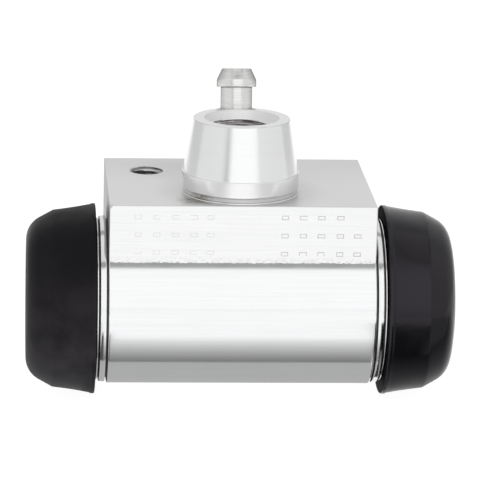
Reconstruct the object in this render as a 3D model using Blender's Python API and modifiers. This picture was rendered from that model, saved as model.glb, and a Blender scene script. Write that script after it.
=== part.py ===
"""Hydraulic brake wheel cylinder: an extruded alloy body with two opposed pistons.

Metres, +Z up. X runs along the bore, Y runs away from the side with the barrel's open flank, and the
mounting face that bolts to the backing plate looks up. The origin lies in the mounting face, on the axis of
the inlet boss, straight above the bore.
"""

from math import asin, atan2, cos, pi, radians, sin, sqrt

import bmesh
import bpy
from mathutils import Vector

# Facets and gaps
ROUND = 44                     # facets round a large turned form
ROUND_SMALL = 24               # facets round a small turned form
ARC_STEP = radians(7.5)        # angle between points of a large arc
CORNER_STEP = radians(15.0)    # angle between points of a small corner round
GAP = 0.0003                   # left between pieces that touch or run on each other
MERGE = 0.000001               # distance within which profile ends on an axis are one point
OVERRUN = 0.001                # a cutter reaches this far past the face it opens

# Extruded section of the body, seen along the bore
BODY_LENGTH = 0.0437
BORE_DEPTH = 0.0185            # the bore's axis below the mounting face
BARREL_RADIUS = 0.0140
BLOCK_FRONT = 0.0107           # the block's front face, ahead of the bore's axis
BLOCK_BACK = 0.0236            # the flange's back edge, behind the bore's axis
FLANGE_THICKNESS = 0.0135
FLANGE_FILLET = 0.0025         # where the flange's underside runs into the barrel
FLANGE_ROUND = 0.0022          # the flange's lower back edge
EDGE_ROUND = 0.00025           # the extrusion's other edges
NICK_TOWARDS = Vector((-1.0, -0.6, 0.75)).normalized()
NICK_DEPTH = 0.00043           # the knock on the block's near left top corner, below the corner's point
NICK_REACH = 0.0012            # half of the cutter's width

# Bore and turned necks
BORE_RADIUS = 0.01032
BORE_CHAMFER = 0.0004
RELIEF_WIDTH = 0.00035         # groove between the sawn block and the ring
RELIEF_DEPTH = 0.0009          # below the barrel
RING_WIDTH = 0.0010
RING_STEP = 0.0002             # the ring below the barrel
GUARD_GAP = 0.00025            # groove between the ring and the guard rib
GUARD_WIDTH = 0.0003
GUARD_STEP = 0.0005            # the guard rib below the barrel
SEAT_WALL = 0.0019             # wall left under the boot's seat
SEAT_WIDTH = 0.0025
NOSE_RISE = 0.0007             # the neck's end flange above the seat
NOSE_WIDTH = 0.0016
NOSE_CHAMFER = 0.0004

# Inlet boss
BOSS_HEIGHT = 0.0124
BOSS_TOP_RADIUS = 0.0080
BOSS_RADIUS = 0.00965
BAND_TOP = 0.0036              # the cylindrical band's upper edge above the mounting face
BAND_BOTTOM = 0.0009
BASE_STEP = 0.00015            # the low turned disc at the boss's foot
BOSS_ROOT = 0.0046             # how deep the boss's form reaches into the block
FOOT_GROOVE = 0.0005           # depth of the groove under the band
BOSS_CHAMFER = 0.00015
PORT_RADIUS = 0.0045
PORT_DEPTH = 0.0115
PORT_COUNTERSINK = 0.0062      # radius at the boss's top
DRILL_TIP = radians(59.0)      # half of a twist drill's point angle
FEED_RADIUS = 0.00125

# Threaded hole for the mounting bolt
BOLT_X = -0.01495
BOLT_Y = 0.0141
BOLT_RADIUS = 0.0025
BOLT_COUNTERSINK = 0.0030
BOLT_DEPTH = 0.0095

# Bleed screw and its hole. Heights are along the screw's own axis, from the mounting face
BLEED_X = 0.0002
BLEED_Y = 0.0144
BLEED_TILT = radians(12.0)     # the screw's top leans away from the boss
BLEED_THREAD_RADIUS = 0.0030
BLEED_HOLE_DEPTH = 0.0085
BLEED_SEAT_DEPTH = 0.0022      # height of the conical seat below the thread
BLEED_PASSAGE_RADIUS = 0.0009
BLEED_PASSAGE_ANGLE = radians(33.0)   # from straight down, towards the bore
BLEED_PASSAGE_LENGTH = 0.0080
BLEED_TOP = 0.0173
NIPPLE_TOP_RADIUS = 0.00246
NIPPLE_RADIUS = 0.00335
NIPPLE_TAPER = 0.0019
NIPPLE_LAND = 0.0010
NIPPLE_UNDERCUT = 0.0003
NECK_RADIUS = 0.00267
HEX_TOP = 0.0096
HEX_HEIGHT = 0.0054
HEX_FLATS = 0.0070
HEX_CHAMFER = radians(30.0)
HEX_EASE = 0.00015             # the chamfer starts this far inside the flats
HEX_TURN = radians(10.0)       # how the hexagon happens to stand when the screw is shut
NECK_FLARE = 0.0012            # the neck widens over this height above the hexagon
NECK_FOOT_RADIUS = 0.0031
STEM_TOP = 0.0083              # the thread's stem begins here, inside the hexagon
BLEED_BORE_RADIUS = 0.0010
CROSS_HOLE_RADIUS = 0.0007
CROSS_HOLE_UP = 0.0006         # the cross hole's axis above the conical tip

# Pistons
PISTON_IN = 0.00725            # the inner face inside the sawn block's end
PISTON_LAND = 0.0138           # length of the full diameter
PISTON_NOSE_RADIUS = 0.0087
PISTON_OUT = 0.01285           # the outer face beyond the sawn block's end
PISTON_CHAMFER = 0.0004
PISTON_GROOVE_RADIUS = 0.0076
SLOT_WIDTH = 0.0062            # takes the brake shoe's web
SLOT_DEPTH = 0.0070
SLOT_ROUND = 0.0008            # at the floor of the slot

# Rubber cups, their expanders and the spring
CUP_BASE = 0.0024
CUP_LENGTH = 0.0050
CUP_LIP = 0.0014               # thickness of the lip where it leaves the base
CUP_LIP_EDGE = 0.0008          # thickness of the lip at its free edge
EXPANDER_WALL = 0.0007
EXPANDER_RIM = 0.0022
EXPANDER_RADIUS = 0.0078
WIRE_RADIUS = 0.0006
COIL_RADIUS = 0.0056
COIL_TURNS = 6
COIL_END_TURNS = 1.0           # closed turns at each end
COIL_STEPS = 12                # points in each turn
COIL_CLOSE = 0.0015            # pitch of a closed turn

# Rubber boots
LIP_RADIUS = 0.0158
LIP_BEAD = 0.0006              # width of the lip's outer bead
LIP_CLEAR = 0.0001             # the lip's side face past the start of the seat
LIP_STEP = 0.00015             # from the bead down to the boot's wall
BOOT_WALL = 0.0013
BOOT_CREASE_OUT = 0.00895      # where the wall turns in towards the end, beyond the sawn block's end
BOOT_CREASE_RADIUS = 0.0147
BOOT_CONE = radians(29.0)      # slope of the shoulder past the crease
BOOT_ROUND = 0.0041            # the round between the shoulder and the end face
BOOT_OUT = 0.01340             # the boot's end face beyond the sawn block's end
BOOT_BEAD_WIDTH = 0.0013       # the bead that grips the piston
BOOT_BEAD_OUT = 0.01015
BOOT_EDGE_ROUND = 0.0003
BOOT_ROUND_STEP = radians(13.0)

COLOURS = {
    "alloy": ((0.78, 0.79, 0.80, 1.0), 1.0, 0.30),
    "plated_steel": ((0.62, 0.62, 0.60, 1.0), 1.0, 0.32),
    "piston_alloy": ((0.58, 0.56, 0.50, 1.0), 1.0, 0.35),
    "spring_steel": ((0.30, 0.31, 0.33, 1.0), 1.0, 0.35),
    "seal_rubber": ((0.03, 0.03, 0.03, 1.0), 0.0, 0.55),
    "boot_rubber": ((0.018, 0.018, 0.020, 1.0), 0.0, 0.42),
}

# Places that follow from the sizes above
HALF = BODY_LENGTH / 2
RELIEF_RADIUS = BARREL_RADIUS - RELIEF_DEPTH
RING_START = HALF + RELIEF_WIDTH
RING_END = RING_START + RING_WIDTH
GUARD_START = RING_END + GUARD_GAP
GUARD_END = GUARD_START + GUARD_WIDTH
SEAT_RADIUS = BORE_RADIUS + SEAT_WALL
SEAT_END = GUARD_END + SEAT_WIDTH
NECK_END = SEAT_END + NOSE_WIDTH
BOOT_CREASE_X = HALF + BOOT_CREASE_OUT
BOOT_END = HALF + BOOT_OUT
BOOT_BEAD_X = HALF + BOOT_BEAD_OUT
PISTON_INNER = HALF - PISTON_IN
PISTON_END = HALF + PISTON_OUT
PISTON_RADIUS = BORE_RADIUS - GAP
CUP_OUTER = PISTON_INNER - GAP
EXPANDER_BACK = CUP_OUTER - CUP_BASE - GAP
SPRING_END = EXPANDER_BACK - EXPANDER_WALL - GAP


def remove_old_objects():
    for old in list(bpy.data.objects):
        bpy.data.objects.remove(old, do_unlink=True)


def new_collection(name):
    made = bpy.data.collections.new(name)
    bpy.context.scene.collection.children.link(made)
    return made


remove_old_objects()
PARTS = new_collection("wheel_cylinder")
CUTTERS = new_collection("wheel_cylinder_cutters")


def material(name):
    """The named Principled material, made once."""
    found = bpy.data.materials.get(name)
    if found:
        return found
    colour, metallic, roughness = COLOURS[name]
    made = bpy.data.materials.new(name)
    made.use_nodes = True
    shader = made.node_tree.nodes["Principled BSDF"]
    shader.inputs["Base Color"].default_value = colour
    shader.inputs["Metallic"].default_value = metallic
    shader.inputs["Roughness"].default_value = roughness
    return made


def add_object(name, mesh, as_cutter=True):
    """A helper form by default, which is left out of the part."""
    made = bpy.data.objects.new(name, mesh)
    if as_cutter:
        CUTTERS.objects.link(made)
        made.hide_render = True
        made.display_type = "WIRE"
    else:
        PARTS.objects.link(made)
    return made


def mesh_from_bmesh(name, shape):
    mesh = bpy.data.meshes.new(name)
    shape.to_mesh(mesh)
    shape.free()
    return mesh


def turned(name, profile, closed=False, steps=ROUND):
    """A form turned about its own Z. The profile is (radius, height) and runs down the outer side."""
    shape = bmesh.new()
    points = [shape.verts.new((radius, 0.0, height)) for radius, height in profile]
    for first, second in zip(points, points[1:]):
        shape.edges.new((first, second))
    if closed:
        shape.edges.new((points[-1], points[0]))
    made = add_object(name, mesh_from_bmesh(name, shape))
    screw = made.modifiers.new("turn", "SCREW")
    screw.axis = "Z"
    screw.angle = 2 * pi
    screw.steps = steps
    screw.render_steps = steps
    screw.use_merge_vertices = True
    screw.merge_threshold = MERGE
    screw.use_smooth_shade = True
    return made


def rod(name, radius, low, high, steps=ROUND_SMALL):
    """A plain cylinder about its own Z."""
    return turned(name, [(0, high), (radius, high), (radius, low), (0, low)], steps=steps)


def drilled_hole(name, radius, top, bottom, countersink, steps=ROUND_SMALL):
    """A blind hole's cutter about Z, with a drill's point and a 45 degree countersink at its mouth."""
    lead = countersink - radius
    tip = radius / sin(DRILL_TIP) * cos(DRILL_TIP)
    profile = [
        (0, top + OVERRUN),
        (countersink + OVERRUN, top + OVERRUN),
        (radius, top - lead),
        (radius, bottom),
        (0, bottom - tip),
    ]
    return turned(name, profile, steps=steps)


def box(name, low, high, edge_round=0.0):
    """A box between two corners, with its edges rounded when asked."""
    low, high = Vector(low), Vector(high)
    shape = bmesh.new()
    bmesh.ops.create_cube(shape, size=1.0)
    for point in shape.verts:
        point.co = Vector(a * b for a, b in zip(point.co, high - low)) + (low + high) / 2
    made = add_object(name, mesh_from_bmesh(name, shape))
    if edge_round:
        bevel = made.modifiers.new("round", "BEVEL")
        bevel.width = edge_round
        bevel.segments = 3
    return made


def along_bore(item, side=1):
    """Lays a form turned about Z along the bore, its top towards +X, or -X for side -1."""
    item.rotation_euler = (0, side * pi / 2, 0)
    item.location = (0, 0, -BORE_DEPTH)
    return item


def boolean(target, other, operation):
    cut = target.modifiers.new(other.name, "BOOLEAN")
    cut.operation = operation
    cut.solver = "EXACT"
    cut.object = other


def finished(source, name, colour, sharp=radians(28.0)):
    """The part's own object: the source with its modifiers applied, shaded smooth between sharp edges."""
    bpy.context.view_layer.update()
    evaluated = source.evaluated_get(bpy.context.evaluated_depsgraph_get())
    mesh = bpy.data.meshes.new_from_object(evaluated)
    mesh.name = name
    mesh.shade_smooth()
    mesh.set_sharp_from_angle(angle=sharp)
    mesh.materials.clear()
    mesh.materials.append(material(colour))
    made = add_object(name, mesh, as_cutter=False)
    made.matrix_world = source.matrix_world
    return made


def arc(centre, radius, start, end, step=ARC_STEP):
    """Points on an arc from one angle to another, both ends included."""
    count = max(1, round(abs(end - start) / step))
    angles = [start + (end - start) * index / count for index in range(count + 1)]
    return [(centre[0] + radius * cos(a), centre[1] + radius * sin(a)) for a in angles]


def section_outline():
    """The body's extruded section as (Y, height above the bore's axis), round the outside."""
    top = BORE_DEPTH
    under = top - FLANGE_THICKNESS
    front_meets = asin(sqrt(BARREL_RADIUS ** 2 - BLOCK_FRONT ** 2) / BARREL_RADIUS)
    fillet_z = under - FLANGE_FILLET
    fillet_y = sqrt((BARREL_RADIUS + FLANGE_FILLET) ** 2 - fillet_z ** 2)
    barrel_end = atan2(fillet_z, fillet_y)
    e, r = EDGE_ROUND, FLANGE_ROUND
    points = arc((-BLOCK_FRONT + e, top - e), e, radians(90), radians(180), CORNER_STEP * 2)
    points += arc((0, 0), BARREL_RADIUS, pi - front_meets, 2 * pi + barrel_end)
    points += arc((fillet_y, fillet_z), FLANGE_FILLET, pi + barrel_end, pi / 2, CORNER_STEP)[1:]
    points += arc((BLOCK_BACK - r, under + r), r, radians(-90), 0, CORNER_STEP)
    points += arc((BLOCK_BACK - e, top - e), e, 0, radians(90), CORNER_STEP * 2)
    return points


def extruded_block():
    """The sawn length of extrusion, as a mesh."""
    curve = bpy.data.curves.new("section", "CURVE")
    curve.dimensions = "2D"
    curve.fill_mode = "BOTH"
    curve.extrude = HALF
    outline = section_outline()
    spline = curve.splines.new("POLY")
    spline.points.add(len(outline) - 1)
    for point, (y, z) in zip(spline.points, outline):
        point.co = (y, z, 0, 1)
    spline.use_cyclic_u = True
    drawn = bpy.data.objects.new("section", curve)
    CUTTERS.objects.link(drawn)
    drawn.rotation_euler = (pi / 2, 0, pi / 2)
    drawn.location = (0, 0, -BORE_DEPTH)
    bpy.context.view_layer.update()
    evaluated = drawn.evaluated_get(bpy.context.evaluated_depsgraph_get())
    mesh = bpy.data.meshes.new_from_object(evaluated)
    shape = bmesh.new()
    shape.from_mesh(mesh)
    bmesh.ops.remove_doubles(shape, verts=shape.verts, dist=MERGE)
    bmesh.ops.recalc_face_normals(shape, faces=shape.faces)
    shape.to_mesh(mesh)
    shape.free()
    block = add_object("block", mesh)
    block.matrix_world = drawn.matrix_world
    bpy.data.objects.remove(drawn)
    return block


def neck(side):
    """One turned end of the barrel: relief, ring, guard rib, boot seat and end flange."""
    inside = HALF / 2
    ring = BARREL_RADIUS - RING_STEP
    guard = BARREL_RADIUS - GUARD_STEP
    nose = SEAT_RADIUS + NOSE_RISE
    profile = [
        (0, NECK_END),
        (nose - NOSE_CHAMFER, NECK_END),
        (nose, NECK_END - NOSE_CHAMFER),
        (nose, SEAT_END),
        (SEAT_RADIUS, SEAT_END),
        (SEAT_RADIUS, GUARD_END),
        (guard, GUARD_END),
        (guard, GUARD_START),
        (RELIEF_RADIUS, GUARD_START),
        (RELIEF_RADIUS, RING_END),
        (ring, RING_END),
        (ring, RING_START),
        (RELIEF_RADIUS, RING_START),
        (RELIEF_RADIUS, inside),
        (0, inside),
    ]
    return along_bore(turned(f"neck_{side}", profile), side)


def inlet_boss():
    """The boss that goes through the backing plate: foot groove, band and cone."""
    c = BOSS_CHAMFER
    profile = [
        (0, BOSS_HEIGHT),
        (BOSS_TOP_RADIUS - c, BOSS_HEIGHT),
        (BOSS_TOP_RADIUS, BOSS_HEIGHT - c),
        (BOSS_RADIUS - c, BAND_TOP),
        (BOSS_RADIUS, BAND_TOP - c),
        (BOSS_RADIUS, BAND_BOTTOM + c),
        (BOSS_RADIUS - c, BAND_BOTTOM),
        (BOSS_RADIUS - FOOT_GROOVE, BAND_BOTTOM),
        (BOSS_RADIUS - FOOT_GROOVE, BASE_STEP),
        (BOSS_RADIUS, BASE_STEP),
        (BOSS_RADIUS, -BOSS_ROOT),
        (0, -BOSS_ROOT),
    ]
    return turned("inlet_boss", profile)


def bore_cutter():
    """The through bore with a chamfer at each mouth."""
    wide = BORE_RADIUS + BORE_CHAMFER + OVERRUN
    mouth = NECK_END + OVERRUN
    lead = NECK_END - BORE_CHAMFER
    profile = [(0, mouth), (wide, mouth), (BORE_RADIUS, lead), (BORE_RADIUS, -lead), (wide, -mouth), (0, -mouth)]
    return along_bore(turned("bore_cutter", profile))


def along_bleed_axis(item, height=0.0):
    """Stands a form turned about Z on the bleed screw's leaning axis."""
    item.rotation_euler = (-BLEED_TILT, 0, 0)
    item.location = (BLEED_X, BLEED_Y + height * sin(BLEED_TILT), height * cos(BLEED_TILT))
    return item


def bleed_hole_cutter():
    """The bleed screw's hole and its conical seat."""
    hole_radius = BLEED_THREAD_RADIUS + GAP
    foot = -BLEED_HOLE_DEPTH - BLEED_SEAT_DEPTH
    profile = [
        (0, 2 * OVERRUN),
        (hole_radius, 2 * OVERRUN),
        (hole_radius, -BLEED_HOLE_DEPTH),
        (BLEED_PASSAGE_RADIUS, foot),
        (0, foot),
    ]
    return along_bleed_axis(turned("bleed_hole_cutter", profile, steps=ROUND_SMALL))


def bleed_passage_cutter():
    """A slanting drilling from the foot of the bleed seat down into the bore."""
    drill = rod("bleed_passage_cutter", BLEED_PASSAGE_RADIUS, -BLEED_PASSAGE_LENGTH, 0, 24)
    along_bleed_axis(drill, -BLEED_HOLE_DEPTH - BLEED_SEAT_DEPTH + BLEED_PASSAGE_RADIUS)
    drill.rotation_euler = (-BLEED_PASSAGE_ANGLE, 0, 0)
    return drill


def nick_cutter():
    """The knocked corner of the sawn block, a small slanting flat."""
    nick = box("nick_cutter", (-NICK_REACH, -NICK_REACH, 0), (NICK_REACH, NICK_REACH, NICK_REACH))
    nick.rotation_euler = Vector((0, 0, 1)).rotation_difference(NICK_TOWARDS).to_euler()
    nick.location = Vector((-HALF, -BLOCK_FRONT, 0)) - NICK_TOWARDS * NICK_DEPTH
    return nick


def body():
    block = extruded_block()
    for item in (neck(1), neck(-1), inlet_boss()):
        boolean(block, item, "UNION")
    port = drilled_hole("port_cutter", PORT_RADIUS, BOSS_HEIGHT, BOSS_HEIGHT - PORT_DEPTH, PORT_COUNTERSINK)
    feed = rod("feed_cutter", FEED_RADIUS, -BORE_DEPTH, BOSS_HEIGHT - PORT_DEPTH, 24)
    bolt = drilled_hole("bolt_cutter", BOLT_RADIUS, 0, -BOLT_DEPTH, BOLT_COUNTERSINK)
    bolt.location = (BOLT_X, BOLT_Y, 0)
    cutters = (bore_cutter(), port, feed, bolt, bleed_hole_cutter(), bleed_passage_cutter(), nick_cutter())
    for item in cutters:
        boolean(block, item, "DIFFERENCE")
    return finished(block, "body", "alloy")


def bleed_screw():
    """Turned nipple and stem, a hexagon, a conical tip and the drillings that let the fluid out."""
    corner = HEX_FLATS / 2 / cos(pi / 6)
    hex_bottom = HEX_TOP - HEX_HEIGHT
    land_bottom = BLEED_TOP - NIPPLE_TAPER - NIPPLE_LAND
    tip_top = -BLEED_HOLE_DEPTH + GAP
    tip_slope = (BLEED_THREAD_RADIUS + GAP - BLEED_PASSAGE_RADIUS) / BLEED_SEAT_DEPTH
    tip_end = BLEED_PASSAGE_RADIUS
    tip_bottom = tip_top - (BLEED_THREAD_RADIUS - tip_end) / tip_slope
    profile = [
        (0, BLEED_TOP),
        (NIPPLE_TOP_RADIUS, BLEED_TOP),
        (NIPPLE_RADIUS, BLEED_TOP - NIPPLE_TAPER),
        (NIPPLE_RADIUS, land_bottom),
        (NECK_RADIUS, land_bottom - NIPPLE_UNDERCUT),
        (NECK_RADIUS, HEX_TOP + NECK_FLARE),
        (NECK_FOOT_RADIUS, (HEX_TOP + STEM_TOP) / 2),
        (BLEED_THREAD_RADIUS, STEM_TOP),
        (BLEED_THREAD_RADIUS, tip_top),
        (tip_end, tip_bottom),
        (0, tip_bottom),
    ]
    stem = turned("bleed_stem", profile, steps=ROUND_SMALL)
    inner = HEX_FLATS / 2 - HEX_EASE
    waist = inner + HEX_HEIGHT / 2 * cos(HEX_CHAMFER) / sin(HEX_CHAMFER)
    blank = turned("hex_blank", [
        (0, HEX_TOP),
        (inner, HEX_TOP),
        (waist, HEX_TOP - HEX_HEIGHT / 2),
        (inner, hex_bottom),
        (0, hex_bottom),
    ])
    shape = bmesh.new()
    bmesh.ops.create_cone(shape, cap_ends=True, segments=6, radius1=corner, radius2=corner,
                          depth=HEX_HEIGHT + 2 * OVERRUN)
    hexagon = add_object("hexagon", mesh_from_bmesh("hexagon", shape))
    hexagon.location = (0, 0, HEX_TOP - HEX_HEIGHT / 2)
    hexagon.rotation_euler = (0, 0, HEX_TURN)
    boolean(hexagon, blank, "INTERSECT")
    boolean(stem, hexagon, "UNION")
    cross_z = tip_top + CROSS_HOLE_UP + CROSS_HOLE_RADIUS
    bore = rod("bleed_bore_cutter", BLEED_BORE_RADIUS, cross_z - CROSS_HOLE_RADIUS, BLEED_TOP + OVERRUN, 24)
    cross = rod("bleed_cross_cutter", CROSS_HOLE_RADIUS, -BLEED_THREAD_RADIUS * 2, BLEED_THREAD_RADIUS * 2, 16)
    cross.rotation_euler = (0, pi / 2, 0)
    cross.location = (0, 0, cross_z)
    boolean(stem, bore, "DIFFERENCE")
    boolean(stem, cross, "DIFFERENCE")
    return along_bleed_axis(finished(stem, "bleed_screw", "plated_steel"))


def side_name(side):
    return "right" if side > 0 else "left"


def piston(side):
    """A turned piston with a grooved nose and a slot for the brake shoe's web."""
    c = PISTON_CHAMFER
    land_end = PISTON_INNER + PISTON_LAND
    groove_start = BOOT_BEAD_X - GAP
    groove_end = BOOT_BEAD_X + BOOT_BEAD_WIDTH + GAP
    profile = [
        (0, PISTON_END),
        (PISTON_NOSE_RADIUS - c, PISTON_END),
        (PISTON_NOSE_RADIUS, PISTON_END - c),
        (PISTON_NOSE_RADIUS, groove_end),
        (PISTON_GROOVE_RADIUS, groove_end),
        (PISTON_GROOVE_RADIUS, groove_start),
        (PISTON_NOSE_RADIUS, groove_start),
        (PISTON_NOSE_RADIUS, land_end),
        (PISTON_RADIUS - c, land_end),
        (PISTON_RADIUS, land_end - c),
        (PISTON_RADIUS, PISTON_INNER + c),
        (PISTON_RADIUS - c, PISTON_INNER),
        (0, PISTON_INNER),
    ]
    name = f"piston_{side_name(side)}"
    blank = along_bore(turned(f"{name}_blank", profile), side)
    across = PISTON_RADIUS + OVERRUN
    low = (PISTON_END - SLOT_DEPTH, -across, -SLOT_WIDTH / 2)
    high = (PISTON_END + SLOT_ROUND + OVERRUN, across, SLOT_WIDTH / 2)
    slot = box(f"{name}_slot_cutter", low, high, SLOT_ROUND)
    slot.rotation_euler = (0, 0, 0 if side > 0 else pi)
    slot.location = (0, 0, -BORE_DEPTH)
    boolean(blank, slot, "DIFFERENCE")
    return finished(blank, name, "piston_alloy")


def cup_seal(side):
    """A rubber cup: its flat back rests on the piston and its lip points at the fluid."""
    outer = PISTON_RADIUS
    floor = CUP_OUTER - CUP_BASE
    edge = CUP_OUTER - CUP_LENGTH
    profile = [
        (0, CUP_OUTER),
        (outer - CUP_LIP_EDGE, CUP_OUTER),
        (outer - CUP_LIP_EDGE / 4, CUP_OUTER - CUP_LIP_EDGE),
        (outer, edge + CUP_LIP_EDGE / 4),
        (outer - CUP_LIP_EDGE / 4, edge),
        (outer - CUP_LIP_EDGE, edge),
        (outer - CUP_LIP, floor),
        (0, floor),
    ]
    name = f"cup_seal_{side_name(side)}"
    return finished(along_bore(turned(f"{name}_form", profile), side), name, "seal_rubber")


def cup_expander(side):
    """A pressed dish that holds the cup's lip out and seats the spring."""
    back = EXPANDER_BACK
    wall = EXPANDER_WALL
    profile = [
        (0, back),
        (EXPANDER_RADIUS, back),
        (EXPANDER_RADIUS, back - EXPANDER_RIM),
        (EXPANDER_RADIUS - wall, back - EXPANDER_RIM),
        (EXPANDER_RADIUS - wall, back - wall),
        (0, back - wall),
    ]
    name = f"cup_expander_{side_name(side)}"
    return finished(along_bore(turned(f"{name}_form", profile), side), name, "plated_steel")


def coil_height(turn, turns, half_length):
    """Place of the wire's middle along the bore after some turns: closed ends and an open middle."""
    closed = COIL_END_TURNS * COIL_CLOSE
    open_turns = turns - 2 * COIL_END_TURNS
    open_pitch = (2 * half_length - 2 * closed) / open_turns
    if turn <= COIL_END_TURNS:
        return -half_length + turn * COIL_CLOSE
    if turn >= turns - COIL_END_TURNS:
        return half_length - (turns - turn) * COIL_CLOSE
    return -half_length + closed + (turn - COIL_END_TURNS) * open_pitch


def return_spring():
    """The light coil spring that keeps the cups against the pistons."""
    half_length = SPRING_END - WIRE_RADIUS
    curve = bpy.data.curves.new("coil", "CURVE")
    curve.dimensions = "3D"
    curve.bevel_depth = WIRE_RADIUS
    curve.bevel_resolution = 2
    curve.use_fill_caps = True
    count = COIL_TURNS * COIL_STEPS
    spline = curve.splines.new("POLY")
    spline.points.add(count)
    for index, point in enumerate(spline.points):
        turn = index / COIL_STEPS
        angle = 2 * pi * turn
        along = coil_height(turn, COIL_TURNS, half_length)
        point.co = (along, COIL_RADIUS * cos(angle), COIL_RADIUS * sin(angle), 1)
    drawn = bpy.data.objects.new("coil", curve)
    CUTTERS.objects.link(drawn)
    drawn.location = (0, 0, -BORE_DEPTH)
    bpy.context.view_layer.update()
    evaluated = drawn.evaluated_get(bpy.context.evaluated_depsgraph_get())
    mesh = bpy.data.meshes.new_from_object(evaluated)
    shape = bmesh.new()
    shape.from_mesh(mesh)
    bmesh.ops.remove_doubles(shape, verts=shape.verts, dist=MERGE)
    shape.to_mesh(mesh)
    shape.free()
    mesh.name = "return_spring"
    mesh.shade_smooth()
    mesh.materials.clear()
    mesh.materials.append(material("spring_steel"))
    made = add_object("return_spring", mesh, as_cutter=False)
    made.matrix_world = drawn.matrix_world
    bpy.data.objects.remove(drawn)
    return made


def shoulder_centre():
    """Centre (along the bore, radius) of the round that meets the boot's cone and its end face."""
    x = BOOT_END - BOOT_ROUND
    meets_x = x + BOOT_ROUND * sin(BOOT_CONE)
    meets_radius = BOOT_CREASE_RADIUS - (meets_x - BOOT_CREASE_X) * sin(BOOT_CONE) / cos(BOOT_CONE)
    return x, meets_radius - BOOT_ROUND * cos(BOOT_CONE)


def boot(side):
    """A rubber boot: a lip in the neck's seat, a wall, a creased shoulder, and a bead on the piston."""
    lip_face = GUARD_END + LIP_CLEAR
    grip = SEAT_RADIUS + GAP
    lip_back = SEAT_END - GAP
    opening = PISTON_NOSE_RADIUS + GAP
    bead = PISTON_GROOVE_RADIUS + GAP
    bead_end = BOOT_BEAD_X + BOOT_BEAD_WIDTH
    tube = opening + BOOT_WALL
    e = BOOT_EDGE_ROUND
    centre = shoulder_centre()
    slope = pi / 2 - BOOT_CONE
    inner_round = BOOT_ROUND - BOOT_WALL
    inner_end = asin((tube - centre[1]) / inner_round)
    outer = arc(centre, BOOT_ROUND, 0, slope, BOOT_ROUND_STEP)
    inner = arc(centre, inner_round, slope, inner_end, BOOT_ROUND_STEP * 2)
    profile = [(opening + e, BOOT_END)]
    profile += [(radius, x) for x, radius in outer]
    profile += [
        (BOOT_CREASE_RADIUS, BOOT_CREASE_X),
        (LIP_RADIUS - LIP_STEP, lip_face + LIP_BEAD + e),
        (LIP_RADIUS, lip_face + LIP_BEAD),
        (LIP_RADIUS, lip_face + e),
        (LIP_RADIUS - e, lip_face),
        (grip, lip_face),
        (grip, lip_back),
        (LIP_RADIUS - LIP_STEP - BOOT_WALL, lip_back + e),
        (BOOT_CREASE_RADIUS - BOOT_WALL, BOOT_CREASE_X - e),
    ]
    profile += [(radius, x) for x, radius in inner]
    profile += [
        (tube, BOOT_BEAD_X),
        (bead, BOOT_BEAD_X),
        (bead, bead_end),
        (opening, bead_end),
        (opening, BOOT_END - e),
    ]
    name = f"boot_{side_name(side)}"
    form = along_bore(turned(f"{name}_form", profile, closed=True), side)
    return finished(form, name, "boot_rubber", sharp=radians(22.0))


body()
bleed_screw()
for each_side in (-1, 1):
    piston(each_side)
    cup_seal(each_side)
    cup_expander(each_side)
    boot(each_side)
return_spring()
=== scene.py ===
"""The looks of a brake wheel cylinder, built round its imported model.

Metres, in the part's own frame: X along the bore, Y away from the viewer, Z up. The origin lies in the
mounting face on the inlet boss's axis.
"""

from math import asin, atan2, cos, hypot, pi, radians, sin, sqrt

import bmesh
import bpy
import numpy as np
from mathutils import Matrix, Vector, noise


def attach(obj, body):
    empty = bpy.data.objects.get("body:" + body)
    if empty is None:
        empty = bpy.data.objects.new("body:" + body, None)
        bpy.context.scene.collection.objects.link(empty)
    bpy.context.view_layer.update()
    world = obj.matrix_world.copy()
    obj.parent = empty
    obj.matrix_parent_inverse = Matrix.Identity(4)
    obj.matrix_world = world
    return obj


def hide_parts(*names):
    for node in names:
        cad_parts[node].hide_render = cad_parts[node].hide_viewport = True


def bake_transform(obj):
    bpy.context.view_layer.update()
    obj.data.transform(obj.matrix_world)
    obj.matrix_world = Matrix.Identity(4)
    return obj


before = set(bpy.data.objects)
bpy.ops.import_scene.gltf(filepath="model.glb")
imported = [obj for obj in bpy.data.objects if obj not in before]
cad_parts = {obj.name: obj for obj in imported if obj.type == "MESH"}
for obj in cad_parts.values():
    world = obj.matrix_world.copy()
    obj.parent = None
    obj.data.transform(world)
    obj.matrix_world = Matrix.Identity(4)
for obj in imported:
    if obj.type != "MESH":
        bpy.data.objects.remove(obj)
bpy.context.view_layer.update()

# Camera, fitted to the photo: focal length in pixels of a picture 480 pixels wide
PICTURE = 480
SENSOR = 36.0
FOCAL = 3500.0
YAW = radians(4.06)
ELEVATION = radians(14.36)
ROLL = radians(-1.33)
AIM = Vector((-0.00017, 0.0, -0.0185))
AIM_SEEN_AT = (236.58, 298.70)
DISTANCE = 0.5833

# Fineness: steps round the turned forms, of an arc and of a fillet
FINE = 160
MEDIUM = 96
SMALL = 48
COARSE = 24
ARC_STEP = radians(2.0)
FILLET_STEPS = 4

# The radius below which a ring is a tip, how far a cutter reaches past a surface, the gap between pieces
# that meet, and the ease of a corner that stays sharp
MERGE = 0.0000005
OVERRUN = 0.001
GAP = 0.0003
FIRM = 0.00001

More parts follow.
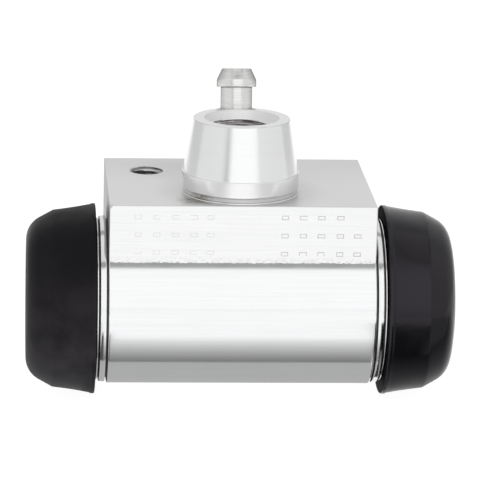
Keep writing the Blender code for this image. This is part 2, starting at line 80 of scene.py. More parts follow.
# Body, as in the part's source
HALF = 0.0437 / 2
BORE_DEPTH = 0.0185
BARREL = 0.0140
FRONT = 0.0107
BACK = 0.0236
FLANGE = 0.0135
FLANGE_FILLET = 0.0025
FLANGE_ROUND = 0.0022
EDGE_ROUND = 0.00025
END_EDGE = 0.00012
END_MID = 0.3 * END_EDGE
BORE = 0.01032
BORE_CHAMFER = 0.0004
RELIEF = BARREL - 0.0009
RING = BARREL - 0.0002
GUARD = BARREL - 0.0005
SEAT = BORE + 0.0019
NOSE = SEAT + 0.0007
RING_START = HALF + 0.00035
RING_END = RING_START + 0.0010
GUARD_START = RING_END + 0.00025
GUARD_END = GUARD_START + 0.0003
SEAT_END = GUARD_END + 0.0025
NECK_END = SEAT_END + 0.0016
NECK_EASE = 0.0001
FRONT_FOOT = sqrt(BARREL ** 2 - FRONT ** 2) - BORE_DEPTH
NICK_TOWARDS = Vector((-1.0, -0.6, 0.75))
NICK_DEPTH = 0.00043
WORN_TOWARDS = Vector((1.0, 1.0, 0.25))
WORN_DEPTH = 0.00018
CUT_REACH = 0.0012

# Boss, port and holes
BOSS_HEIGHT = 0.0124
BOSS_TOP = 0.0080
BOSS = 0.00965
BAND_TOP = 0.0036
BAND_BOTTOM = 0.0009
FOOT_GROOVE = 0.0005
FOOT_EASE = 0.0001
BASE_STEP = 0.00015
BOSS_ROOT = 0.0046
BOSS_EASE = 0.00018
BAND_EDGE = 0.00012
PORT = 0.0045
PORT_MAJOR = 0.0050
PORT_DEPTH = 0.0115
COUNTERSINK = 0.0062
FEED = 0.00125
BOLT = Vector((-0.01495, 0.0141, 0.0))
BOLT_MINOR = 0.0025
BOLT_MAJOR = 0.0030
BOLT_DEPTH = 0.0095
BOLT_LEAD = 0.0003
BOLT_TURN = radians(-54.0)
THREAD_SHADE = 0.00034
THREAD_LIT = 0.00062
PITCH = 0.0010
LEVELS_PER_PITCH = 8
FLANK_SLOPE = 1.35
ROOT_FLAT = 0.15
DRILL_TIP = radians(59.0)

# The burr on the front face's lower edge
BURR_END = 0.0006
BURR_STEPS = 260
BURR_GRAIN = 900.0
BURR_ROOT = 0.00002
BURR_OUT = 0.00004
BURR_HEIGHT = 0.00007
BURR_FOOT = 0.00040

# Zones of the body: how near to a surface, or to its eased edge, a face's centre lies
SKIN = 0.00002
MARGIN = 0.0002
PORT_FLOOR = -0.006
SINK_SLOPE = 0.55
MARKS_TOP = -0.001
MARKS_BOTTOM = -0.009

# Bleed screw, with heights along its own leaning axis
BLEED_X = 0.0002
BLEED_Y = 0.0144
BLEED_TILT = radians(12.0)
BLEED_THREAD = 0.0030
BLEED_CORE = 0.0026
BLEED_HOLE_DEPTH = 0.0085
BLEED_SEAT = 0.0022
PASSAGE = 0.0009
PASSAGE_ANGLE = radians(33.0)
PASSAGE_LENGTH = 0.0080
BLEED_TOP = 0.0173
CONE_BOTTOM = BLEED_TOP - 0.0019
LAND_BOTTOM = BLEED_TOP - 0.0031
NIPPLE_TOP = 0.00246
NIPPLE = 0.00335
NECK = 0.00267
NECK_FOOT = 0.0012
FLARE = 0.0031
FLARE_SINK = 0.00065
STEM_ROOT = 0.0027
STEM_SINK = 0.0013
SCREW_EASE = 0.00015
SHADOW_LINE = 0.00008
HEX_TOP = 0.0096
HEX_HEIGHT = 0.0054
HEX_FLATS = 0.0070
HEX_TURN = radians(10.0)
HEX_CHAMFER = radians(30.0)
HEX_EASE = 0.00015
SHANK_SINK = 0.0010
SHANK_RING = -0.0002
POINT = BLEED_THREAD - 0.00015
POINT_LAND = 0.0004
POINT_RISE = 0.0006
THREAD_ROOT = BLEED_CORE - 0.00005
THREAD_TOP = 0.0021
THREAD_RUNOUT = 0.0012
FLUID_BORE = 0.0010
CROSS_HOLE = 0.0007
CROSS_RISE = 0.0013
CROSS_REACH = 0.006

# Boots
LIP = 0.0158
BOOT_WALL = 0.0013
CREASE_X = 0.0308
CREASE = 0.0147
CONE = radians(29.0)
BOOT_ROUND = 0.0041
BOOT_END = 0.03525
BOOT_EASE = 0.00022
MOUTH_EASE = 0.0003
LIP_CLEAR = 0.0001
LIP_EDGE = 0.0006
LIP_LAND = 0.0009
LIP_TAPER = 0.00015
WALL_HOLLOW = 0.00006
WALL_STEPS = 12
INNER_EASE = 0.0003
INNER_STEPS = 6
BOOT_WAVES = 160.0
BOOT_UNEVEN = 0.00007
LIP_FACE_END = GUARD_END + 0.00016
BEAD_X = 0.0320
BEAD_WIDTH = 0.0013
PISTON_NOSE = 0.0087
PISTON_GROOVE = 0.0076

# Cups and spring
PISTON_INNER = 0.0146
CUP_OUT = PISTON_INNER - GAP
CUP_BASE = 0.0024
CUP_LENGTH = 0.0050
CUP_RADIUS = BORE - GAP
CUP_SHOULDER = 0.0008
CUP_DRAFT = 0.0002
CUP_WALL = 0.0014
CUP_EASE = 0.00015
EXPANDER = 0.0007
SPRING_END = CUP_OUT - CUP_BASE - GAP - EXPANDER - GAP
WIRE = 0.0006
COIL = 0.0056
TURNS = 6
COIL_CLOSE = 0.0015
SPRING_STEPS = 96
LAST_TURN = TURNS / 2 - 0.0001
WIRE_SIDES = 12

# Stamped marks on the front face: plain frames in rows, with no letters
MARK_LEFT = (-0.0172, -0.01415, -0.01115, -0.0081, -0.0054)
MARK_RIGHT = (0.00675, 0.00975, 0.0127, 0.0158, 0.01865)
MARK_ROWS_LEFT = (-0.0019, -0.00485, -0.0078)
MARK_ROWS_RIGHT = (-0.0019, -0.00495, -0.0080)
MARK_WIDTH = 0.0012
MARK_HEIGHT = 0.00070
MARK_LINE = 0.00012
MARK_DEPTH = 0.00005
MARK_GAP = 0.00002
MISSING_LEFT = 0.14
MISSING_RIGHT = 0.04


def make_camera():
    """The photo's pinhole camera: the aim point lands on its measured pixel."""
    data = bpy.data.cameras.new("camera")
    data.sensor_width = SENSOR
    data.lens = FOCAL * SENSOR / PICTURE
    data.clip_start = 0.01
    data.clip_end = 20.0
    made = bpy.data.objects.new("camera", data)
    bpy.context.scene.collection.objects.link(made)
    forward = Vector((sin(YAW) * cos(ELEVATION), cos(YAW) * cos(ELEVATION), -sin(ELEVATION)))
    right = Vector((cos(YAW), -sin(YAW), 0.0))
    up = right.cross(forward)
    rolled_right = cos(ROLL) * right - sin(ROLL) * up
    rolled_up = sin(ROLL) * right + cos(ROLL) * up
    across = (AIM_SEEN_AT[0] - PICTURE / 2) / FOCAL
    down = (AIM_SEEN_AT[1] - PICTURE / 2) / FOCAL
    ray = forward + across * rolled_right - down * rolled_up
    place = AIM - DISTANCE * ray
    turn = Matrix((rolled_right, rolled_up, -forward)).transposed().to_4x4()
    made.matrix_world = Matrix.Translation(place) @ turn
    bpy.context.scene.camera = made


def add_object(name, shape):
    """An object from a bmesh, which is freed."""
    mesh = bpy.data.meshes.new(name)
    shape.to_mesh(mesh)
    shape.free()
    made = bpy.data.objects.new(name, mesh)
    bpy.context.scene.collection.objects.link(made)
    return made


def fillet(points, size, steps=FILLET_STEPS, closed=False):
    """A profile with each corner eased by an arc-like curve that starts size away from it."""
    count = len(points)
    eased = []
    for index, point in enumerate(points):
        if not closed and index in (0, count - 1):
            eased.append(tuple(point))
            continue
        here = Vector(point)
        before = Vector(points[index - 1])
        after = Vector(points[(index + 1) % count])
        reach = min(size, 0.45 * (before - here).length, 0.45 * (after - here).length)
        first = here + (before - here).normalized() * reach
        last = here + (after - here).normalized() * reach
        for step in range(steps + 1):
            t = step / steps
            eased.append(tuple((1 - t) ** 2 * first + 2 * t * (1 - t) * here + t ** 2 * last))
    return eased


def arc(centre, radius, start, end, step=ARC_STEP):
    """Points round an arc, about a step apart."""
    count = max(1, round(abs(end - start) / step))
    angles = [start + (end - start) * index / count for index in range(count + 1)]
    return [(centre[0] + radius * cos(a), centre[1] + radius * sin(a)) for a in angles]


def rings_to_shape(rings, closed=False, caps=False):
    """Quads between rings of points. A ring of one point is a tip. caps closes both ends with a face."""
    shape = bmesh.new()
    made = [[shape.verts.new(point) for point in ring] for ring in rings]
    pairs = list(zip(made, made[1:]))
    if closed:
        pairs.append((made[-1], made[0]))
    for first, second in pairs:
        count = max(len(first), len(second))
        for index in range(count):
            after = (index + 1) % count
            corners = [first[index % len(first)]]
            if len(first) > 1:
                corners.append(first[after])
            if len(second) > 1:
                corners.append(second[after])
            corners.append(second[index % len(second)])
            shape.faces.new(corners)
    if caps:
        shape.faces.new(made[0])
        shape.faces.new(list(reversed(made[-1])))
    bmesh.ops.recalc_face_normals(shape, faces=shape.faces)
    return shape


def lathe(name, profile, steps, closed=False, change=None):
    """A solid turned about Z from (radius, height) points. change may move a point after turning."""
    rings = []
    for radius, height in profile:
        if radius < MERGE:
            rings.append([Vector((0.0, 0.0, height))])
            continue
        turns = [2 * pi * index / steps for index in range(steps)]
        rings.append([Vector((radius * cos(a), radius * sin(a), height)) for a in turns])
    if change:
        rings = [[change(point) for point in ring] for ring in rings]
    return add_object(name, rings_to_shape(rings, closed))


def along_bore(item, side=1):
    """Lays a form turned about Z along the bore, its top towards +X, or -X for side -1."""
    turn = Matrix.Rotation(side * pi / 2, 4, "Y")
    item.data.transform(Matrix.Translation((0, 0, -BORE_DEPTH)) @ turn)
    return item


def thread_rod(name, minor, major, top, bottom, steps, mouth=None, point=0.0):
    """A threaded rod about Z, with crests at major and roots at minor. A mouth is (radius, height) of a
    45 degree countersink that flares upwards, and point the half angle of a drilled tip."""
    levels = round((top - bottom) / (PITCH / LEVELS_PER_PITCH))
    rings = []
    for level in range(levels + 1):
        height = top - (top - bottom) * level / levels
        ring = []
        for index in range(steps):
            phase = (height / PITCH - index / steps) % 1.0
            rise = min(1.0, max(0.0, FLANK_SLOPE * (1.0 - abs(2.0 * phase - 1.0)) - ROOT_FLAT))
            radius = minor + (major - minor) * rise
            if mouth:
                radius = max(radius, mouth[0] + height - mouth[1])
            angle = 2 * pi * index / steps
            ring.append(Vector((radius * cos(angle), radius * sin(angle), height)))
        rings.append(ring)
    tip = minor / sin(point) * cos(point) if point else 0.0
    rings = [[Vector((0, 0, top))]] + rings + [[Vector((0, 0, bottom - tip))]]
    return add_object(name, rings_to_shape(rings))


def combine(base, others, name):
    """The base with each (object, operation) done in turn, as a new object. The helpers are removed."""
    for item, operation in others:
        cut = base.modifiers.new(item.name, "BOOLEAN")
        cut.operation = operation
        cut.solver = "EXACT"
        cut.object = item
    bpy.context.view_layer.update()
    evaluated = base.evaluated_get(bpy.context.evaluated_depsgraph_get())
    mesh = bpy.data.meshes.new_from_object(evaluated)
    mesh.name = name
    made = bpy.data.objects.new(name, mesh)
    bpy.context.scene.collection.objects.link(made)
    for item in [base] + [other for other, _ in others]:
        bpy.data.objects.remove(item)
    return made


def smooth(item, sharp=radians(24.0)):
    item.data.shade_smooth()
    item.data.set_sharp_from_angle(angle=sharp)
    return item


def even_normals(item):
    """Large faces keep their own direction, so that only the eased edges bend the light."""
    level = item.modifiers.new("normals", "WEIGHTED_NORMAL")
    level.keep_sharp = True
    return item


def section_outline():
    """The extruded section as (Y, height above the bore's axis), round the outside."""
    under = BORE_DEPTH - FLANGE
    front_meets = asin(sqrt(BARREL ** 2 - FRONT ** 2) / BARREL)
    fillet_z = under - FLANGE_FILLET
    fillet_y = sqrt((BARREL + FLANGE_FILLET) ** 2 - fillet_z ** 2)
    barrel_end = atan2(fillet_z, fillet_y)
    e, r = EDGE_ROUND, FLANGE_ROUND
    corner = radians(15.0)
    points = arc((-FRONT + e, BORE_DEPTH - e), e, radians(90), radians(180), corner)
    points += arc((0, 0), BARREL, pi - front_meets, 2 * pi + barrel_end)
    points += arc((fillet_y, fillet_z), FLANGE_FILLET, pi + barrel_end, pi / 2, corner / 2)[1:]
    points += arc((BACK - r, under + r), r, radians(-90), 0, corner / 2)
    points += arc((BACK - e, BORE_DEPTH - e), e, 0, radians(90), corner)
    return points


def inset(points, distance):
    """The outline moved inwards along its normals."""
    moved = []
    count = len(points)
    for index, point in enumerate(points):
        before, after = points[index - 1], points[(index + 1) % count]
        along = Vector((after[0] - before[0], after[1] - before[1])).normalized()
        moved.append((point[0] - along.y * distance, point[1] + along.x * distance))
    return moved


def extrusion():
    """The sawn length of extrusion, with its end edges eased."""
    outline = section_outline()
    small = inset(outline, END_EDGE)
    mid = inset(outline, END_MID)
    inner = HALF - END_EDGE
    firm = inner - END_EDGE
    stations = [(-HALF, small), (-HALF + END_MID, mid), (-inner, outline), (-firm, outline)]
    stations += [(firm, outline), (inner, outline), (HALF - END_MID, mid), (HALF, small)]
    rings = [[Vector((x, y, z - BORE_DEPTH)) for y, z in points] for x, points in stations]
    return add_object("extrusion", rings_to_shape(rings, caps=True))


def neck(side):
    profile = [
        (0, NECK_END), (NOSE, NECK_END), (NOSE, SEAT_END), (SEAT, SEAT_END), (SEAT, GUARD_END),
        (GUARD, GUARD_END), (GUARD, GUARD_START), (RELIEF, GUARD_START), (RELIEF, RING_END),
        (RING, RING_END), (RING, RING_START), (RELIEF, RING_START), (RELIEF, HALF / 2), (0, HALF / 2),
    ]
    return along_bore(lathe(f"neck_{side}", fillet(profile, NECK_EASE, 2), FINE), side)


def inlet_boss():
    profile = [
        (0, BOSS_HEIGHT), (BOSS_TOP, BOSS_HEIGHT), (BOSS - BAND_EDGE, BAND_TOP), (BOSS, BAND_TOP - BAND_EDGE),
        (BOSS, BAND_BOTTOM), (BOSS - FOOT_GROOVE, BAND_BOTTOM - FOOT_EASE), (BOSS - FOOT_GROOVE, BASE_STEP),
        (BOSS, BASE_STEP), (BOSS, -BOSS_ROOT), (0, -BOSS_ROOT),
    ]
    return lathe("inlet_boss", fillet(profile, BOSS_EASE), FINE)


def bore_cutter():
    wide = BORE + BORE_CHAMFER + OVERRUN
    mouth = NECK_END + OVERRUN
    lead = NECK_END - BORE_CHAMFER
    profile = [(0, mouth), (wide, mouth), (BORE, lead), (BORE, -lead), (wide, -mouth), (0, -mouth)]
    return along_bore(lathe("bore_cutter", profile, FINE))


def on_bleed_axis(item, height=0.0, tilt=BLEED_TILT):
    """Stands a form turned about Z on the bleed screw's axis, or leans it more about a point of that axis."""
    start = (BLEED_X, BLEED_Y + height * sin(BLEED_TILT), height * cos(BLEED_TILT))
    item.data.transform(Matrix.Translation(start) @ Matrix.Rotation(-tilt, 4, "X"))
    return item


def bleed_hole_cutter():
    hole = BLEED_THREAD + GAP
    foot = -BLEED_HOLE_DEPTH - BLEED_SEAT
    top = 2 * OVERRUN
    profile = [(0, top), (hole, top), (hole, -BLEED_HOLE_DEPTH), (PASSAGE, foot), (0, foot)]
    return on_bleed_axis(lathe("bleed_hole", profile, SMALL))


def bleed_passage_cutter():
    profile = [(0, 0), (PASSAGE, 0), (PASSAGE, -PASSAGE_LENGTH), (0, -PASSAGE_LENGTH)]
    drill = lathe("bleed_passage", profile, COARSE)
    return on_bleed_axis(drill, -BLEED_HOLE_DEPTH - BLEED_SEAT + PASSAGE, PASSAGE_ANGLE)


def corner_cutter(name, corner, towards, depth):
    """A block that takes a small flat off a corner of the body."""
    shape = bmesh.new()
    bmesh.ops.create_cube(shape, size=2 * CUT_REACH)
    made = add_object(name, shape)
    out = towards.normalized()
    turn = Vector((0, 0, 1)).rotation_difference(out).to_matrix().to_4x4()
    lift = Matrix.Translation((0, 0, CUT_REACH))
    made.data.transform(Matrix.Translation(Vector(corner) - out * depth) @ turn @ lift)
    return made


def burr():
    """The thin ragged lip that milling left along the front face's lower edge. What is drawn at random is
    a share of the named sizes."""
    edge = asin(sqrt(BARREL ** 2 - FRONT ** 2) / BARREL)
    rng = np.random.default_rng(3)
    rings = []
    for x in np.linspace(-HALF + BURR_END, HALF - BURR_END, BURR_STEPS):
        grown = max(0.0, noise.noise(Vector((x * BURR_GRAIN, 0.0, 0.0))) + 0.45) * rng.uniform(0.5, 1.0)
        under = edge - BURR_FOOT * rng.uniform(0.6, 1.2) / BARREL
        inner = BARREL - BURR_ROOT
        top = BARREL * sin(edge) - BORE_DEPTH
        rings.append([
            Vector((x, -FRONT + BURR_ROOT, top + BURR_HEIGHT * rng.uniform(0.5, 1.4))),
            Vector((x, -FRONT - BURR_OUT * grown, top + BURR_HEIGHT * rng.uniform(-0.2, 0.3))),
            Vector((x, -inner * cos(under), inner * sin(under) - BORE_DEPTH)),
            Vector((x, -FRONT + 10 * BURR_ROOT, top)),
        ])
    caps = [[sum(ring, Vector()) / 4] for ring in (rings[0], rings[-1])]
    return add_object("burr", rings_to_shape([caps[0]] + rings + [caps[1]]))


def marks_cutter():
    """Every stamped frame as four strokes. Faint frames miss some of theirs, as a light blow leaves them."""
    places = [(x, z, 0.5, MISSING_LEFT) for x in MARK_LEFT for z in MARK_ROWS_LEFT]
    places += [(x, z, 0.6 + 0.5 * x / HALF, MISSING_RIGHT) for x in MARK_RIGHT for z in MARK_ROWS_RIGHT]
    places = [place for place in places if place[:2] != (MARK_RIGHT[-1], MARK_ROWS_RIGHT[0])]
    half_line = MARK_LINE / 2
    rng = np.random.default_rng(7)
    shape = bmesh.new()
    for x, z, strength, missing in places:
        wide = MARK_WIDTH * rng.uniform(0.92, 1.06) / 2
        high = MARK_HEIGHT * rng.uniform(0.9, 1.1) / 2
        upright = high - MARK_LINE - MARK_GAP
        strokes = (
            (0, high - half_line, wide, half_line), (0, half_line - high, wide, half_line),
            (wide - half_line, 0, half_line, upright), (half_line - wide, 0, half_line, upright),
        )
        for across, up, half_wide, half_high in strokes:
            depth = MARK_DEPTH * strength * rng.uniform(0.6, 1.1)
            if rng.uniform() < missing:
                continue
            size = Vector((2 * half_wide, depth + OVERRUN, 2 * half_high))
            middle = Vector((x + across, -FRONT + (depth - OVERRUN) / 2, z + up))
            place = Matrix.Translation(middle) @ Matrix.Diagonal((*size, 1.0))
            bmesh.ops.create_cube(shape, size=1.0, matrix=place)
    return add_object("marks", shape)


def make_body():
    """The machined body: extrusion, necks, boss and burr, then the bore, port, holes, nicks and frames."""
    lead = COUNTERSINK - PORT
    port = thread_rod("port", PORT, PORT_MAJOR, BOSS_HEIGHT + OVERRUN, BOSS_HEIGHT - PORT_DEPTH, MEDIUM,
                      (PORT, BOSS_HEIGHT - lead), DRILL_TIP)
    bolt = thread_rod("bolt", BOLT_MINOR, BOLT_MAJOR, OVERRUN, -BOLT_DEPTH, MEDIUM,
                      (BOLT_MINOR, -BOLT_LEAD), DRILL_TIP)
    bolt.data.transform(Matrix.Translation(BOLT) @ Matrix.Rotation(BOLT_TURN, 4, "Z"))
    feed = lathe("feed", [(0, PITCH), (FEED, PITCH), (FEED, -BORE_DEPTH), (0, -BORE_DEPTH)], COARSE)
    added = [(neck(1), "UNION"), (neck(-1), "UNION"), (inlet_boss(), "UNION"), (burr(), "UNION")]
    nick = corner_cutter("nick", (-HALF, -FRONT, 0), NICK_TOWARDS, NICK_DEPTH)
    worn = corner_cutter("worn", (HALF, BACK, 0), WORN_TOWARDS, WORN_DEPTH)
    cutters = (bore_cutter(), port, feed, bolt, bleed_hole_cutter(), bleed_passage_cutter(), nick, worn,
               marks_cutter())
    made = combine(extrusion(), added + [(item, "DIFFERENCE") for item in cutters], "body_metal")
    return even_normals(smooth(made))


def assign(item, materials, choose):
    """Gives each face the material that choose(centre, normal) names."""
    item.data.materials.clear()
    order = list(materials)
    for name in order:
        item.data.materials.append(materials[name])
    for face in item.data.polygons:
        face.material_index = order.index(choose(face.center, face.normal))


def body_zone(centre, normal):
    """Which machined or drawn surface of the body a face lies on. The first test takes the large end faces,
    whose centres are near the bore's axis, and a later one their eased edges. Some zones hold painted light:
    darker metal as painted shade in the bore, the port, the recess at the boss's foot, the mounting hole and
    the necks' recesses, and lighter metal as a painted highlight in the countersink."""
    from_bore = hypot(centre.y, centre.z + BORE_DEPTH)
    from_boss = hypot(centre.x, centre.y)
    from_bolt = hypot(centre.x - BOLT.x, centre.y - BOLT.y)
    along = abs(centre.x)
    if abs(along - HALF) < SKIN / 4 and abs(normal.x) > 0.9:
        return "sawn"
    # The walls of the bore and the port take darker, warm metal: painted shade inside them.
    if from_bore < BORE + 3 * MARGIN and along < NECK_END - MARGIN / 2:
        return "bore"
    if from_boss < COUNTERSINK + MARGIN / 2 and PORT_FLOOR < centre.z < BOSS_HEIGHT - SKIN:
        # The countersink takes lighter metal than the boss: a painted highlight.
        in_sink = centre.z > BOSS_HEIGHT - COUNTERSINK + PORT and normal.z > SINK_SLOPE
        return "sink" if in_sink else "bore"
    if centre.z > BAND_TOP - 3 * SKIN:
        return "boss"
    if centre.z > SKIN:
        # The recess at the boss's foot takes darker metal: painted shade in it.
        return "foot" if centre.z < BAND_BOTTOM - SKIN and from_boss < BOSS - 2 * SKIN else "band"
    # In the mounting hole, a band just under its mouth and all below its top turns take darker metal: painted
    # shade.
    if from_bolt < BOLT_MAJOR + MARGIN and centre.z < -SKIN:
        if -THREAD_SHADE < centre.z < -THREAD_SHADE / 3:
            return "shade"
        return "thread" if centre.z > -THREAD_LIT else "deep"
    if along > HALF + SKIN:
        # The necks' recesses take dark metal: painted shade.
        return "groove" if from_bore < RELIEF + 2 * MARGIN and along < GUARD_START + SKIN / 2 else "neck"
    sunk = SKIN / 2 < centre.y + FRONT < 6 * SKIN
    if sunk and MARKS_BOTTOM < centre.z < MARKS_TOP and along < HALF - 2 * MARGIN:
        return "stamped" if centre.x > 0 else "faint"
    if along > HALF - MARGIN and abs(normal.x) > 0.5:
        return "sawn"
    if centre.z > -2 * MARGIN and normal.z > 0.7:
        return "milled"
    if centre.z > FRONT_FOOT and abs(centre.y + FRONT) < MARGIN:
        return "front"
    return "drawn"


def make_hexagon():
    """The bleed screw's hexagon, with both ends chamfered by a double cone."""
    bottom = HEX_TOP - HEX_HEIGHT
    middle = HEX_TOP - HEX_HEIGHT / 2
    inner = HEX_FLATS / 2 - HEX_EASE
    waist = inner + HEX_HEIGHT / 2 * cos(HEX_CHAMFER) / sin(HEX_CHAMFER)
    profile = [(0, HEX_TOP), (inner, HEX_TOP), (waist, middle), (inner, bottom), (0, bottom)]
    blank = lathe("blank", profile, MEDIUM)
    corner = HEX_FLATS / 2 / cos(pi / 6)
    shape = bmesh.new()
    bmesh.ops.create_cone(shape, cap_ends=True, segments=6, radius1=corner, radius2=corner,
                          depth=HEX_HEIGHT + 2 * OVERRUN)
    hexagon = add_object("hexagon", shape)
    hexagon.data.transform(Matrix.Translation((0, 0, middle)) @ Matrix.Rotation(HEX_TURN, 4, "Z"))
    return combine(hexagon, [(blank, "INTERSECT")], "hex_form")


def make_bleed_screw():
    """Nipple, neck, chamfered hexagon, threaded stem and conical tip, with the drillings for the fluid."""
    hex_bottom = HEX_TOP - HEX_HEIGHT
    tip_top = -BLEED_HOLE_DEPTH + GAP
    slope = (BLEED_THREAD + GAP - PASSAGE) / BLEED_SEAT
    tip_bottom = tip_top - (BLEED_THREAD - PASSAGE) / slope
    upper = [
        (0, BLEED_TOP), (NIPPLE_TOP, BLEED_TOP), (NIPPLE, CONE_BOTTOM), (NIPPLE, LAND_BOTTOM),
        (NECK + FIRM, LAND_BOTTOM), (NECK, LAND_BOTTOM - FIRM), (NECK, HEX_TOP + NECK_FOOT),
        (FLARE, HEX_TOP - FLARE_SINK), (STEM_ROOT, HEX_TOP - STEM_SINK), (0, HEX_TOP - STEM_SINK),
    ]
    stem = lathe("stem", fillet(upper, SCREW_EASE), MEDIUM)
    lower = [
        (0, hex_bottom + SHANK_SINK), (BLEED_CORE, hex_bottom + SHANK_SINK), (BLEED_CORE, SHANK_RING),
        (BLEED_CORE, tip_top + POINT_RISE), (POINT, tip_top + POINT_LAND), (POINT, tip_top),
        (PASSAGE, tip_bottom), (0, tip_bottom),
    ]
    shank = lathe("shank", lower, SMALL)
    thread = thread_rod("thread", THREAD_ROOT, BLEED_THREAD, THREAD_TOP, tip_top + THREAD_RUNOUT, SMALL)
    cross_z = tip_top + CROSS_RISE
    drilling = [(0, BLEED_TOP + OVERRUN), (FLUID_BORE, BLEED_TOP + OVERRUN),
                (FLUID_BORE, cross_z - CROSS_HOLE), (0, cross_z - CROSS_HOLE)]
    bore = lathe("fluid_bore", drilling, SMALL)
    through = [(0, CROSS_REACH), (CROSS_HOLE, CROSS_REACH), (CROSS_HOLE, -CROSS_REACH), (0, -CROSS_REACH)]
    cross = lathe("cross_hole", through, COARSE)
    cross.data.transform(Matrix.Translation((0, 0, cross_z)) @ Matrix.Rotation(pi / 2, 4, "Y"))
    added = [(make_hexagon(), "UNION"), (shank, "UNION"), (thread, "UNION")]
    made = combine(stem, added + [(bore, "DIFFERENCE"), (cross, "DIFFERENCE")], "bleed_screw_metal")
    return even_normals(smooth(on_bleed_axis(made)))


def boot_profile():
    """(radius, distance from the middle of the bore) round the boot's section."""
    lip_face = GUARD_END + LIP_CLEAR
    grip = SEAT + GAP
    lip_back = SEAT_END - GAP
    opening = PISTON_NOSE + GAP
    bead = PISTON_GROOVE + GAP
    centre_x = BOOT_END - BOOT_ROUND
    meets_x = centre_x + BOOT_ROUND * sin(CONE)
    centre = (centre_x, CREASE - (meets_x - CREASE_X) * sin(CONE) / cos(CONE) - BOOT_ROUND * cos(CONE))
    slope = pi / 2 - CONE
    inner_round = BOOT_ROUND - BOOT_WALL
    tube = opening + BOOT_WALL
    outer = arc(centre, BOOT_ROUND, 0, slope, radians(6.0))
    inner = arc(centre, inner_round, slope, asin((tube - centre[1]) / inner_round), radians(12.0))
    wall_start = (LIP - LIP_TAPER, lip_face + LIP_LAND)
    wall = [wall_start]
    for step in range(1, WALL_STEPS):
        t = step / WALL_STEPS
        radius = wall_start[0] + (CREASE - wall_start[0]) * t - WALL_HOLLOW * sin(pi * t)
        wall.insert(0, (radius, wall_start[1] + (CREASE_X - wall_start[1]) * t))
    points = [(opening + MOUTH_EASE, BOOT_END)]
    points += [(radius, x) for x, radius in outer]
    points += [(CREASE, CREASE_X)] + wall
    points += [(LIP, lip_face + LIP_EDGE), (LIP, lip_face), (grip, lip_face), (grip, lip_back)]
    inner_start = (LIP - INNER_EASE - BOOT_WALL, lip_back + INNER_EASE)
    for step in range(INNER_STEPS + 1):
        t = step / INNER_STEPS
        points.append((inner_start[0] + (CREASE - BOOT_WALL - inner_start[0]) * t,
                       inner_start[1] + (CREASE_X - inner_start[1] - INNER_EASE) * t))
    points += [(radius, x) for x, radius in inner]
    points += [(tube, BEAD_X), (bead, BEAD_X), (bead, BEAD_X + BEAD_WIDTH), (opening, BEAD_X + BEAD_WIDTH),
               (opening, BOOT_END - MOUTH_EASE)]
    return fillet(points, BOOT_EASE, 3, closed=True)


def make_boot(side):
    """A moulded rubber boot with the slight waviness that soft rubber has."""
    def uneven(point):
        push = noise.noise(point * BOOT_WAVES + Vector((side * 9.0, 0, 0))) * BOOT_UNEVEN
        away = Vector((point.x, point.y, 0)).normalized()
        return point + away * push

    name = "boot_right_rubber" if side > 0 else "boot_left_rubber"
    made = lathe(name, boot_profile(), FINE, closed=True, change=uneven)
    along_bore(made, side)
    return smooth(made, radians(35.0))


def make_cup(side):
    """A rubber cup with its open lip towards the middle of the bore."""
    floor = CUP_OUT - CUP_BASE
    edge = CUP_OUT - CUP_LENGTH
    shoulder = CUP_RADIUS - CUP_SHOULDER
    outer = CUP_RADIUS - CUP_DRAFT
    profile = [
        (0, CUP_OUT), (shoulder, CUP_OUT), (outer, CUP_OUT - CUP_SHOULDER), (CUP_RADIUS, edge + CUP_DRAFT),
        (outer, edge), (shoulder, edge), (CUP_RADIUS - CUP_WALL, floor), (0, floor),
    ]
    name = "cup_right_rubber" if side > 0 else "cup_left_rubber"
    return smooth(along_bore(lathe(name, fillet(profile, CUP_EASE), MEDIUM), side))


def coil_place(turn):
    """The wire's middle after some turns from the left end: closed ends and an open middle."""
    half = SPRING_END - WIRE
    pitch = (2 * half - 2 * COIL_CLOSE) / (TURNS - 2)
    if turn <= 1.0:
        return -half + turn * COIL_CLOSE
    if turn >= TURNS - 1.0:
        return half - (TURNS - turn) * COIL_CLOSE
    return -half + COIL_CLOSE + (turn - 1.0) * pitch


def make_spring_half(side):
    """Half of the return spring, from its middle to one end."""
    path = []
    for index in range(SPRING_STEPS + 1):
        turn = TURNS / 2 + side * LAST_TURN * index / SPRING_STEPS
        angle = 2 * pi * turn
        path.append(Vector((coil_place(turn), COIL * cos(angle), COIL * sin(angle) - BORE_DEPTH)))
    rings = [[path[0]]]
    for index, point in enumerate(path):
        along = (path[min(index + 1, SPRING_STEPS)] - path[max(index - 1, 0)]).normalized()
        out = Vector((0, point.y, point.z + BORE_DEPTH))
        out = (out - along * out.dot(along)).normalized()
        other = along.cross(out)
        turns = [2 * pi * k / WIRE_SIDES for k in range(WIRE_SIDES)]
        rings.append([point + (out * cos(a) + other * sin(a)) * WIRE for a in turns])
    rings.append([path[-1]])
    name = "spring_right_half" if side > 0 else "spring_left_half"
    return smooth(add_object(name, rings_to_shape(rings)), radians(50.0))


